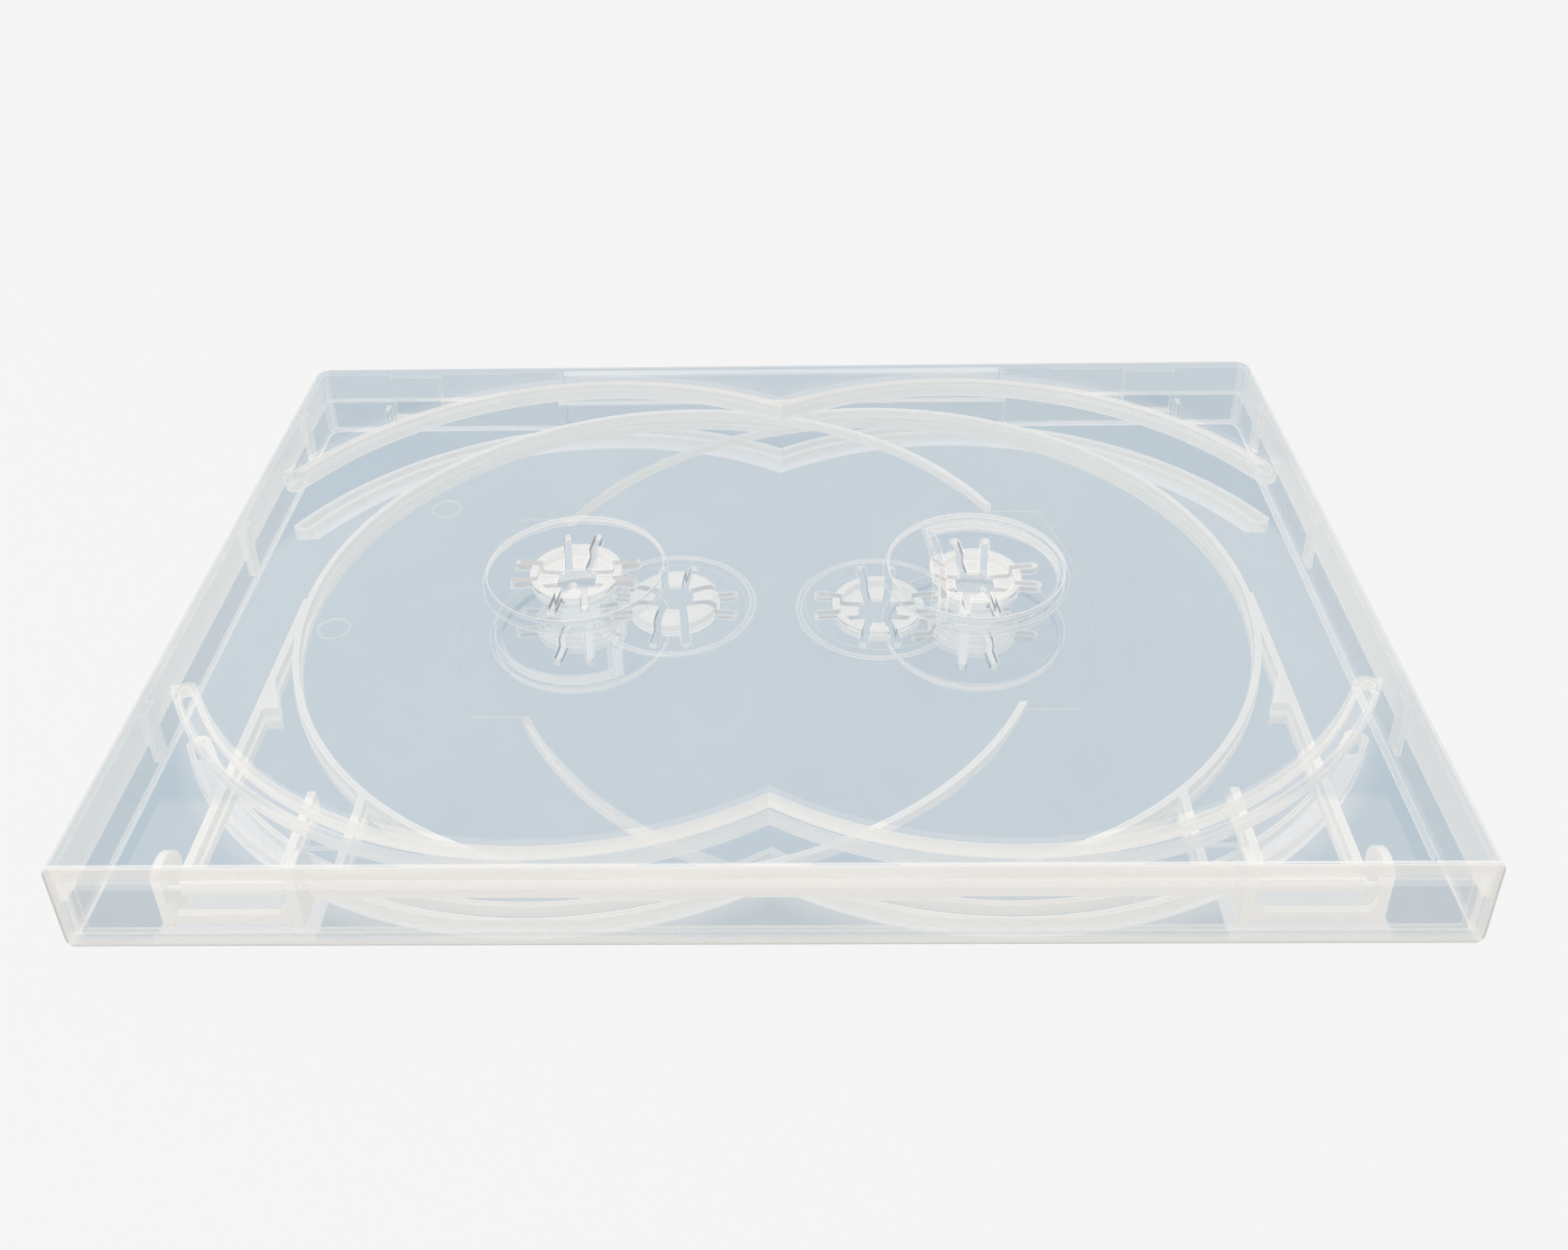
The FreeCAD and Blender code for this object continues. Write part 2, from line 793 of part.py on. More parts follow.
for word, height in (("low", "-5 * sqrt(2)"), ("high", "Dimensions.case_thickness - 5 * sqrt(2)")):
    wedge = document.addObject("Part::Box", "spine_mitre_" + word)
    wedge.Placement = FreeCAD.Placement(
        FreeCAD.Vector(0, 0, 0), FreeCAD.Rotation(FreeCAD.Vector(1, 0, 0), 45)
    )
    bind(wedge, "Length", "2 * case_length")
    bind(wedge, "Width", "10")
    bind(wedge, "Height", "10")
    bind(wedge, "Placement.Base.x", "-case_length")
    if word == "low":
        # Everything below the sloping line through the lower front edge
        wedge.setExpression("Placement.Base.y", "-Dimensions.case_width / 2 + 3.5")
        wedge.setExpression("Placement.Base.z", "Dimensions.mitre_gap + 3.5 - 10 * sqrt(2)")
    else:
        wedge.setExpression(
            "Placement.Base.y", "-Dimensions.case_width / 2 + 5 * sqrt(2) - Dimensions.mitre_gap",
        )
        wedge.setExpression("Placement.Base.z", "Dimensions.case_thickness - 5 * sqrt(2)")
    mitres.append(wedge)
spine = cut("spine", spine_whole, mitres)
spine.Label = "spine"

# Flip tray: a thin leaf with one hub on each face
under = "tray_mid - tray_half"
over = "tray_mid + tray_half"
low_rim = "tray_mid - rim_half"
high_rim = "tray_mid + rim_half"


def tray_circles(name, radius, z0, z1):
    return disc_circles(name, radius, z0, z1, "tray_row", "tray_offset")


def front_rim():
    # The deep rim between the brackets, with rounded lower ends
    bar = box(
        "tray_front_bar", "-rim_end", "rim_end", "pivot_row - tray_wall / 2",
        "pivot_row + tray_wall / 2",
        "tray_mid - front_rim_half", "tray_mid + front_rim_half",
    )
    document.recompute()
    rounded = document.addObject("Part::Fillet", "tray_front_rim")
    rounded.Base = bar
    ends = []
    for place, edge in enumerate(bar.Shape.Edges, start=1):
        a = edge.Vertexes[0].Point
        b = edge.Vertexes[1].Point
        if abs(a.x - b.x) < 0.01 and abs(a.z - b.z) < 0.01 and a.z < sizes["case_thickness"] / 2:
            ends.append((place, sizes["rim_round"], sizes["rim_round"]))
    rounded.Edges = ends
    return rounded


tray_adds = [
    tray_circles("tray_leaf", "tray_rim - 0.3", under, over),
    box(
        "tray_web", "-tray_side + 0.3", "tray_side - 0.3", "pivot_row + 1.2", "tray_row", under,
        over,
    ),
    cut(
        "tray_ring",
        tray_circles("tray_ring_out", "tray_rim", low_rim, high_rim),
        [tray_circles("tray_ring_in", "tray_recess", "0", "case_thickness")],
    ),
    front_rim(),
]
for side in (1, -1):
    tag = "right" if side > 0 else "left"

    x0, x1 = mirrored(side, "tray_side - tray_wall", "tray_side")
    tray_adds.append(box("tray_side_" + tag, x0, x1, "pivot_row", "tray_row", low_rim, high_rim))
    x0, x1 = mirrored(side, "rim_end - 3.4 - tray_wall", "rim_end - 3.4")
    tray_adds.append(
        box("tray_rib_" + tag, x0, x1, "pivot_row", "tray_row - 45", low_rim, high_rim)
    )
    x0, x1 = mirrored(side, "tray_near", "tray_side")
    tray_adds.append(
        box(
            "tray_bar_" + tag, x0, x1, "pivot_row - 1", "pivot_row + 1.6", "tray_mid - 1.1",
            "tray_mid + 1.1",
        )
    )
    x0, x1 = mirrored(side, "bracket_inner - 0.2", "bracket_outer + 0.3")
    tray_adds.append(rod("tray_pin_" + tag, x0, x1, "pivot_row", "tray_mid", "pin_radius"))
    tray_adds.append(
        taper(
            "tray_tooth_" + tag,
            mirrored(side, "tray_side - tray_wall - tooth_reach", "tray_side - tray_wall / 2"),
            mirrored(side, "tray_side - tray_wall", "tray_side - tray_wall / 2"),
            "tray_row - tooth_row - tooth_length / 2", "tray_row - tooth_row + tooth_length / 2",
            low_rim, high_rim,
        )
    )
    x0, x1 = mirrored(side, "tray_near", "tray_near + tray_wall")
    tray_adds.append(
        box("tray_inner_rib_" + tag, x0, x1, "pivot_row", "tray_row - 45", low_rim, high_rim)
    )

for word, side, z0, z1 in (("top", 1, over, high_rim), ("under", -1, low_rim, under)):
    # Arc that closes the disc circle across the leaf, with the finger step
    own = "-tray_offset" if side > 0 else "tray_offset"
    other = "tray_offset" if side > 0 else "-tray_offset"
    a = "tray_mid" if side > 0 else z0
    b = z1 if side > 0 else "tray_mid"
    half = box(
        "tray_arc_half_" + word, "0" if side > 0 else "-case_length",
        "case_length" if side > 0 else "0",
        "-case_width", "case_width", a, b
    )
    arc = common(
        "tray_arc_" + word,
        [
            cut(
                "tray_arc_ring_" + word,
                cylinder("tray_arc_out_" + word, own, "tray_row", a, b, "tray_rim"),
                [
                    cylinder(
                        "tray_arc_in_" + word, own, "tray_row", "0", "case_thickness",
                        "tray_recess",
                    ),
                    box(
                        "tray_arc_gap_" + word, "-case_length", "case_length",
                        "tray_row - finger_gap",
                        "tray_row + finger_gap", "0", "case_thickness"
                    ),
                ],
            ),
            half,
            cylinder(
                "tray_arc_limit_" + word, other, "tray_row", "0", "case_thickness",
                "tray_recess + 0.5",
            ),
        ],
    )
    tray_adds.append(arc)
    pad_low = over if side > 0 else "tray_mid - tray_half - pad_step"
    pad_high = "tray_mid + tray_half + pad_step" if side > 0 else under
    grow_low = "tray_mid" if side > 0 else pad_low
    grow_high = pad_high if side > 0 else "tray_mid"
    finger = common(
        "tray_finger_" + word,
        [
            cylinder(
                "tray_finger_round_" + word, own, "tray_row", "0", "case_thickness",
                "finger_radius",
            ),
            box(
                "tray_finger_band_" + word, "-case_length", "case_length", "tray_row - finger_gap",
                "tray_row + finger_gap", "0", "case_thickness",
            ),
        ],
    )
    pad = cut(
        "tray_pad_" + word,
        cylinder(
            "tray_pad_round_" + word, other, "tray_row", grow_low, grow_high, "tray_rim - 0.5",
        ),
        [
            cylinder("tray_pad_disc_" + word, own, "tray_row", "0", "case_thickness", "tray_rim - 0.5"),
            finger,
        ],
    )
    tray_adds.append(pad)
    # Disc seat and hub
    if side > 0:
        tray_adds.append(
            cylinder(
                "tray_seat_top", own, "tray_row", "tray_mid", "tray_mid + tray_rest",
                "flange_radius",
            )
        )
        tray_adds.append(
            cylinder(
                "tray_hub_top", own, "tray_row", "tray_mid",
                "tray_mid + tray_rest + hub_height - cap_height", "hub_radius"
            )
        )
        tray_adds.append(
            cone(
                "tray_cap_top", own, "tray_row", "tray_mid + tray_rest + hub_height - cap_height",
                "tray_mid + tray_rest + hub_height", "hub_radius", "hub_radius - cap_taper",
            )
        )
    else:
        tray_adds.append(
            cylinder(
                "tray_seat_under", own, "tray_row", "tray_mid - tray_rest", "tray_mid",
                "flange_radius",
            )
        )
        tray_adds.append(
            cylinder(
                "tray_hub_under", own, "tray_row", "tray_mid - tray_rest - hub_height + cap_height",
                "tray_mid", "hub_radius"
            )
        )
        tray_adds.append(
            cone(
                "tray_cap_under", own, "tray_row", "tray_mid - tray_rest - hub_height",
                "tray_mid - tray_rest - hub_height + cap_height", "hub_radius - cap_taper",
                "hub_radius",
            )
        )

tray_whole = fuse("tray_whole", tray_adds)


def seat_floor(name, x, z0, z1):
    # The seat's middle lies a little under its lip, which carries the disc
    return cut(
        name,
        cylinder(name + "_disc", x, "tray_row", z0, z1, "flange_radius - flange_lip"),
        [cylinder(name + "_hub", x, "tray_row", "0", "case_thickness", "hub_radius")],
    )


tray_cuts = [
    seat_floor(
        "tray_floor_top", "-tray_offset", "tray_mid + tray_rest - lip_rise",
        "tray_mid + tray_rest + 0.2",
    ),
    seat_floor(
        "tray_floor_under", "tray_offset", "tray_mid - tray_rest - 0.2",
        "tray_mid - tray_rest + lip_rise",
    ),
    # Each seat and hub is hollow from the other face
    cylinder(
        "tray_seat_hollow_top", "-tray_offset", "tray_row", "tray_mid - 5", "tray_mid - 0.35",
        "flange_radius - 1.4",
    ),
    cylinder(
        "tray_hub_hollow_top", "-tray_offset", "tray_row", "tray_mid - 5",
        "tray_mid + tray_rest + hub_height - 1.2",
        "hub_radius - 1",
    ),
    cylinder(
        "tray_seat_hollow_under", "tray_offset", "tray_row", "tray_mid + 0.35", "tray_mid + 5",
        "flange_radius - 1.4",
    ),
    cylinder(
        "tray_hub_hollow_under", "tray_offset", "tray_row",
        "tray_mid - tray_rest - hub_height + 1.2", "tray_mid + 5",
        "hub_radius - 1",
    ),
    cylinder("tray_hole_top", "-tray_offset", "tray_row", "0", "case_thickness", "hub_hole"),
    cylinder("tray_hole_under", "tray_offset", "tray_row", "0", "case_thickness", "hub_hole"),
    cone(
        "tray_dish_top", "-tray_offset", "tray_row",
        "tray_mid + tray_rest + hub_height - cap_height",
        "tray_mid + tray_rest + hub_height + 0.1", "hub_hole - 0.3", "hub_radius - 1.6",
    ),
    cone(
        "tray_dish_under", "tray_offset", "tray_row", "tray_mid - tray_rest - hub_height - 0.1",
        "tray_mid - tray_rest - hub_height + cap_height", "hub_radius - 1.6", "hub_hole - 0.3",
    ),
    hub_slots("tray_top", "-tray_offset", "tray_row", "0", "case_thickness"),
    hub_slots("tray_under", "tray_offset", "tray_row", "0", "case_thickness"),
    # Ejector pin marks
    cylinder(
        "tray_mark_a", "-tray_offset - 55.8", "tray_row - 5.8", "tray_mid + tray_half - 0.15",
        "case_thickness", "2.6"
    ),
    cylinder(
        "tray_mark_b", "-tray_offset - 44.1", "tray_row + 29.2", "tray_mid + tray_half - 0.15",
        "case_thickness", "2.6"
    ),
    # Room for the near cheeks
    box(
        "tray_cheek_room_right", "rim_end - 3.4", "tray_near", "pivot_row + tray_wall / 2",
        "pivot_row + cheek_radius + 1.8", "0", "case_thickness",
    ),
    box(
        "tray_cheek_room_left", "-tray_near", "-rim_end + 3.4", "pivot_row + tray_wall / 2",
        "pivot_row + cheek_radius + 1.8", "0", "case_thickness",
    ),
]
tray_body = cut("tray_body", tray_whole, tray_cuts)
tray_room = box(
    "tray_room", "-case_length / 2 + wall + 1", "case_length / 2 - wall - 1",
    "-case_width / 2 + skin + 0.5",
    "case_width / 2 - wall - 1", "0", "case_thickness",
)
flip_tray = fuse(
    "flip_tray",
    [
        common("tray_inside", [tray_body, tray_room]),
        rod(
            "tray_pin_again_right", "bracket_inner - 0.2", "tray_near + tray_wall", "pivot_row",
            "tray_mid", "pin_radius",
        ),
        rod(
            "tray_pin_again_left", "-tray_near - tray_wall", "-bracket_inner + 0.2", "pivot_row",
            "tray_mid", "pin_radius",
        ),
    ],
)
flip_tray.Label = "flip_tray"

# Bores for the pins, through both cheeks of each bracket
back_drilled = cut(
    "back_drilled",
    back_cover,
    [
        rod(
            "bores", "-bracket_outer - 1", "bracket_outer + 1", "pivot_row", "tray_mid",
            "bore_radius",
        )
    ],
)
back_cover.Label = "back_cover_undrilled"
back_drilled.Label = "back_cover"

document.recompute()

finished = [back_drilled, spine, front_cover, flip_tray]
for thing in document.Objects:
    if "Invalid" in thing.State or "Error" in thing.State:
        raise RuntimeError("%s failed: %s" % (thing.Name, thing.State))
for thing in finished:
    shape = thing.Shape
    if shape.isNull() or not shape.isValid():
        raise RuntimeError("%s has no valid shape" % thing.Label)
    print(
        thing.Label, len(shape.Solids), round(shape.Volume, 1), [round(v, 2) for v in (
            shape.BoundBox.XMin, shape.BoundBox.XMax, shape.BoundBox.YMin, shape.BoundBox.YMax,
            shape.BoundBox.ZMin, shape.BoundBox.ZMax,
        )]
    )

os.makedirs("parts", exist_ok=True)
for thing in finished:
    thing.Shape.exportStep(os.path.join("parts", thing.Label + ".step"))
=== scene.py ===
import bpy
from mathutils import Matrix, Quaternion, Vector

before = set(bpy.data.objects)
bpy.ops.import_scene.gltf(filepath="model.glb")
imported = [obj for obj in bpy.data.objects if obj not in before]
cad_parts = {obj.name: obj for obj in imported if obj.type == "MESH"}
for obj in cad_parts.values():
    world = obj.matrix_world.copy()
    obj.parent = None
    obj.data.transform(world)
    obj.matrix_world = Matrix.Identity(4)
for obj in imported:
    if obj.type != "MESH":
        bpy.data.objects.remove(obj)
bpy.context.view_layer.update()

scene = bpy.context.scene

# Lengths are metres in the frame of the part: X along the spine, Y from the
# spine to the opening edge, Z up. A pair of numbers is the start and the end
# of a soft change.

# Background level of the photograph, as linear light
PAPER = 0.913

# Colours: the plastic clear and milky, a painted highlight along rounded edges,
# painted shade in the depth of a slot, and the light that passes through one wall
TINT = (0.22, 0.36, 0.47, 1.0)
MILK = (0.945, 0.925, 0.885, 1.0)
EDGE_HIGHLIGHT_COLOUR = (0.985, 0.975, 0.95, 1.0)
SHADE = (0.34, 0.36, 0.39, 1.0)
PASSING = (0.985, 0.986, 0.987, 1.0)
SPINE_TINT = (0.36, 0.37, 0.34, 1.0)
SPINE_MILK = (0.81, 0.785, 0.74, 1.0)

# How much of what lies behind is hidden by the tinted outer faces, by ribs, by
# the painted highlight on rounded edges and the painted shade in slots, and how
# milky the caps of the hubs are
BACK_COVERS = (0.31, 0.64, 0.72, 0.85)
FRONT_COVERS = (0.17, 0.62, 1.0, 0.85)
TRAY_COVERS = (0.0, 0.88, 0.95, 1.0)
SPINE_COVERS = (0.14, 0.20, 0.45, 0.0)
CLEAR_COVER = 0.01
CLOUD_COVER = 0.03
RICH_COVER = 0.36
SLOT_SHADE_COVER = 0.50
HUB_HIGHLIGHT = 0.50

# How clear the seats, walls and inner faces are beside the ribs
SEAT_CLEAR = 0.86
RIM_CLEAR = 0.5
WALL_CLEAR = 0.8
BRACKET_CLEAR = 0.8
FLOOR_FADE = 0.85
RIM_FAINT = 0.8
CORNER_SHADE = 1.48
# Painted shade on the spine's rim: its ends and a painted contact shadow along its foot
RIM_SHADE = 3.0

# Pale lines of painted highlight along rounded edges: their reach, and how far the surface bends
EDGE_LINE = 0.0005
EDGE_BEND = (0.88, 0.997)
HUB_BEND = (0.96, 0.9992)

# Which way a face has to look to count as lying, outer or a side of a slot.
# Slot sides that look along the case get more painted shade than those that look
# across it, so their last two numbers are the weakest and the full painted shade.
LYING = (0.5, 0.95)
OUTER_TURN = (0.90, 0.98)
SLOT_TURN = (0.45, 0.65)
SLOT_STEEP = (0.2, 0.5)
SLOT_ENDWAYS = (0.5, 0.8, 0.4, 1.0)

# Surface of the plastic
CLOUD_SCALE = 55.0
GRAIN_SCALE = 2600.0
FLOW_SCALE = 14.0
GRAIN_RELIEF = 0.01
RELIEF_STRENGTH = 0.08
RELIEF_DEPTH = 0.0004
ROUGH_CLEAR = 0.12
ROUGH_MILK = 0.20
ROUGH_CLOUD = 0.08
PLASTIC_IOR = 1.49

# Width of a mask's soft edge
SOFT = 0.0002

# Hubs: rows, distances from the middle, and radii from each hub's own centre
ROW = -0.0018
TRAY_ROW = -0.0032
COVER_HUB = 0.0332
TRAY_HUB = 0.017
CAP_REACH = 0.0077
SLOT_REACH = 0.0107
RIM_REACH = 0.0132
SEAT_REACH = 0.0160

# Ridges round the discs: inner and outer radius, how far from the row they
# stop, and how soon the corners outside them darken
RING_INNER = 0.0610
RING_OUTER = 0.0646
RING_STOP = 0.0295
CORNER_FADE = 0.004

# Outer size of the case, its walls, the skins of both covers and the pad on
# their inner faces
HALF_LENGTH = 0.095
HALF_WIDTH = 0.0675
OUTSIDE = (0.0003, 0.0001)
SIDE_WALL = (0.0014, 0.0010)
BACK_WALL = 0.0638
GRIP_FACE = 0.0655
GRIP_SOFT = 0.00005
BACK_SKIN = (-0.001, 0.0016)
BACK_INSIDE = 0.0012
FRONT_SKIN = (0.0134, 0.016)
FRONT_INSIDE = 0.0138
FLOOR_DEPTH = (0.0003, 0.0005)
PAD_REACH = 0.056
PAD_FADE = 0.002

# Brackets of the tray, and the leaf of the tray itself
BRACKET_SPAN = (0.0615, 0.0835)
BRACKET_END = (-0.057, -0.054)
LEAF = (0.0066, 0.0084)
LEAF_LINE = (0.0330, 0.0340)

# Spine: its outer face, the clear window, the bands round it and the rim
SPINE_FACE = (-0.0674, -0.0672)
WINDOW_HEIGHT = (0.00205, 0.01075)
WINDOW_END = (0.0920, 0.0926)
BAND_HEIGHT = (0.0014, 0.0127)
BAND_SOFT = 0.0003
BAND_END = (0.0932, 0.0938)
RIM_END = (0.0945, 0.0949)
RIM_FOOT = (0.0002, 0.0006)


class Graph:
    """Short helpers for building a node tree."""

    def __init__(self, tree):
        tree.nodes.clear()
        self.nodes = tree.nodes
        self.links = tree.links

    def node(self, kind, **values):
        made = self.nodes.new(kind)
        for key, value in values.items():
            setattr(made, key, value)
        return made

    def feed(self, socket, value):
        if isinstance(value, bpy.types.NodeSocket):
            self.links.new(value, socket)
        else:
            socket.default_value = value

    def maths(self, operation, a, b=0.0, clamp=False):
        made = self.node("ShaderNodeMath", operation=operation, use_clamp=clamp)
        self.feed(made.inputs[0], a)
        self.feed(made.inputs[1], b)
        return made.outputs[0]

    def plus(self, a, b, clamp=False):
        return self.maths("ADD", a, b, clamp)

    def times(self, first, *others):
        for other in others:
            first = self.maths("MULTIPLY", first, other)
        return first

    def most(self, first, *others):
        for other in others:
            first = self.maths("MAXIMUM", first, other)
        return first

    def inverse(self, value):
        return self.maths("SUBTRACT", 1.0, value)

    def size(self, value):
        return self.maths("ABSOLUTE", value)

    def split(self, vector):
        made = self.node("ShaderNodeSeparateXYZ")
        self.links.new(vector, made.inputs[0])
        return made.outputs

    def vector(self, operation, a, b=(0.0, 0.0, 0.0)):
        made = self.node("ShaderNodeVectorMath", operation=operation)
        self.feed(made.inputs[0], a)
        if operation not in ("LENGTH", "NORMALIZE"):
            self.feed(made.inputs[1], b)
        return made.outputs["Value" if operation in ("LENGTH", "DOT_PRODUCT") else "Vector"]

    def ramp(self, value, low, high, to_low=0.0, to_high=1.0):
        made = self.node("ShaderNodeMapRange", interpolation_type="SMOOTHSTEP")
        self.feed(made.inputs["Value"], value)
        made.inputs["From Min"].default_value = low
        made.inputs["From Max"].default_value = high
        made.inputs["To Min"].default_value = to_low
        made.inputs["To Max"].default_value = to_high
        return made.outputs["Result"]

    def fall(self, value, low, high):
        return self.ramp(value, low, high, 1.0, 0.0)

    def above(self, value, edge, soft=SOFT):
        return self.ramp(value, edge - soft, edge + soft)

    def below(self, value, edge, soft=SOFT):
        return self.fall(value, edge - soft, edge + soft)

    def between(self, value, low, high, soft=SOFT):
        return self.times(self.above(value, low, soft), self.below(value, high, soft))

    def blend(self, factor, a, b):
        made = self.node("ShaderNodeMix", data_type="RGBA")
        self.feed(made.inputs[0], factor)
        self.feed(made.inputs[6], a)
        self.feed(made.inputs[7], b)
        return made.outputs[2]

    def noise(self, vector, scale, detail):
        made = self.node("ShaderNodeTexNoise")
        self.feed(made.inputs["Vector"], vector)
        made.inputs["Scale"].default_value = scale
        made.inputs["Detail"].default_value = detail
        return made.outputs["Fac"]

    def mix(self, factor, a, b):
        made = self.node("ShaderNodeMixShader")
        self.links.new(factor, made.inputs[0])
        self.links.new(a.outputs[0], made.inputs[1])
        self.links.new(b.outputs[0], made.inputs[2])
        return made

    def finish(self, kind, shader):
        self.links.new(shader.outputs[0], self.node(kind).inputs[0])


def hub_masks(graph, place, x, y):
    """Masks of one hub: its cap, its seat, the rim of the seat and the side
    faces of its slots."""
    centre = graph.vector("SUBTRACT", place.outputs["Object"], (x, y, 0.0))
    away = graph.vector("MULTIPLY", centre, (1.0, 1.0, 0.0))
    far = graph.vector("LENGTH", away)
    outward = graph.vector("NORMALIZE", away)
    turned = graph.vector("DOT_PRODUCT", outward, place.outputs["Normal"])
    sideways = graph.fall(graph.size(turned), *SLOT_TURN)
    cap = graph.below(far, CAP_REACH)
    seat = graph.below(far, SEAT_REACH)
    rim = graph.above(far, RIM_REACH)
    walls = graph.times(graph.below(far, SLOT_REACH), sideways)
    return cap, seat, rim, walls


def ridge_masks(graph, spot):
    """Seen from above: a mask of the curved ridges that run round both discs,
    and a factor that rises in the corners outside them."""
    across = graph.maths("SUBTRACT", spot[1], ROW)
    far = None
    for side in (1.0, -1.0):
        along = graph.maths("SUBTRACT", spot[0], side * COVER_HUB)
        squares = [graph.maths("POWER", way, 2.0) for way in (along, across)]
        apart = graph.maths("SQRT", graph.plus(*squares))
        far = apart if far is None else graph.maths("MINIMUM", far, apart)
    ring = graph.times(graph.above(far, RING_INNER), graph.below(far, RING_OUTER))
    ridges = graph.times(graph.above(graph.size(across), RING_STOP), ring)
    corner = graph.ramp(far, RING_OUTER, RING_OUTER + CORNER_FADE, 1.0, CORNER_SHADE)
    return ridges, corner


def clear_plastic(name, zones, hubs, covers, tint, milk):
    """See-through polypropylene: clear and a little blue on the flat panels,
    milky where walls, ribs and hub fingers stand on edge, with a painted
    highlight along each rounded edge and painted shade inside the narrow slots."""
    tint_cover, body_cover, highlight_cover, cap_milk = covers
    material = bpy.data.materials.new(name)
    material.use_nodes = True
    graph = Graph(material.node_tree)
    place = graph.node("ShaderNodeTexCoord")
    spot = graph.split(place.outputs["Object"])
    facing = graph.split(place.outputs["Normal"])
    upward = graph.size(facing[2])
    lying = graph.ramp(upward, *LYING)
    zone = zones(graph, spot, facing, lying)

    # Milky parts, with clearer seats round the hubs
    body = graph.inverse(zone["panel"])
    near_hub = 0.0
    slot = 0.0
    rims = 0.0
    for x, y in hubs:
        cap, seat, rim, walls = hub_masks(graph, place, x, y)
        clear = graph.most(graph.times(rim, RIM_CLEAR), graph.times(lying, SEAT_CLEAR))
        body = graph.times(body, graph.inverse(graph.times(seat, clear)))
        body = graph.most(body, graph.times(cap, cap_milk))
        near_hub = graph.most(near_hub, seat)
        rims = graph.most(rims, graph.times(seat, rim, graph.inverse(lying)))
        slot = graph.most(slot, walls)

    # Pale lines of painted highlight where the surface turns over an edge
    round_edge = graph.node("ShaderNodeBevel", samples=2)
    round_edge.inputs["Radius"].default_value = EDGE_LINE
    plain = graph.node("ShaderNodeNewGeometry")
    bend = graph.vector("DOT_PRODUCT", round_edge.outputs[0], plain.outputs["Normal"])
    line = graph.fall(bend, *EDGE_BEND)
    if hubs:
        line = graph.most(line, graph.times(graph.fall(bend, *HUB_BEND), near_hub))
    line = graph.times(line, graph.inverse(zone["faint"]))

    cloud = graph.noise(place.outputs["Object"], CLOUD_SCALE, 2.0)
    grain = graph.noise(place.outputs["Object"], GRAIN_SCALE, 0.0)
    flow = graph.noise(place.outputs["Object"], FLOW_SCALE, 1.0)

    white = graph.most(graph.maths("MAXIMUM", body, line, True), rims)
    colour = graph.blend(white, tint, milk)
    colour = graph.blend(line, colour, EDGE_HIGHLIGHT_COLOUR)
    cover = graph.times(zone["tinted"], tint_cover)
    fill = graph.plus(body_cover, graph.times(zone["rich"], RICH_COVER))
    cover = graph.plus(cover, graph.times(body, fill))
    strength = graph.plus(highlight_cover, graph.times(near_hub, HUB_HIGHLIGHT))
    cover = graph.plus(cover, graph.times(line, strength))
    drift = graph.plus(CLEAR_COVER, graph.times(cloud, CLOUD_COVER))
    cover = graph.plus(cover, drift, True)
    # Painted shade in the depth of the slots, fuller on slot sides that look along the case
    if hubs:
        slot_shade = graph.times(slot, graph.fall(upward, *SLOT_STEEP), graph.inverse(line))
        slot_shade = graph.times(slot_shade, graph.ramp(graph.size(facing[0]), *SLOT_ENDWAYS))
        colour = graph.blend(slot_shade, colour, SHADE)
        cover = graph.plus(cover, graph.times(slot_shade, SLOT_SHADE_COVER), True)

    shader = graph.node("ShaderNodeBsdfPrincipled")
    graph.feed(shader.inputs["Base Color"], colour)
    graph.feed(shader.inputs["Alpha"], cover)
    rough = graph.plus(ROUGH_CLEAR, graph.times(body, ROUGH_MILK))
    rough = graph.plus(rough, graph.times(cloud, ROUGH_CLOUD))
    graph.feed(shader.inputs["Roughness"], rough)
    shader.inputs["IOR"].default_value = PLASTIC_IOR
    bump = graph.node("ShaderNodeBump")
    bump.inputs["Strength"].default_value = RELIEF_STRENGTH
    bump.inputs["Distance"].default_value = RELIEF_DEPTH
    relief = graph.plus(flow, graph.times(grain, GRAIN_RELIEF))
    graph.feed(bump.inputs["Height"], relief)
    graph.feed(shader.inputs["Normal"], bump.outputs["Normal"])

    # Light from the lamps and the room passes through to what lies inside
    path = graph.node("ShaderNodeLightPath")
    lets_through = graph.node("ShaderNodeBsdfTransparent")
    lets_through.inputs["Color"].default_value = PASSING
    shown = graph.mix(path.outputs["Is Diffuse Ray"], shader, lets_through)
    shown = graph.mix(path.outputs["Is Shadow Ray"], shown, lets_through)
    graph.finish("ShaderNodeOutputMaterial", shown)
    return material


def outside(graph, value, edge):
    """Mask of the outer faces, which lie at the edge's distance from the middle."""
    return graph.ramp(value, edge - OUTSIDE[0], edge - OUTSIDE[1])


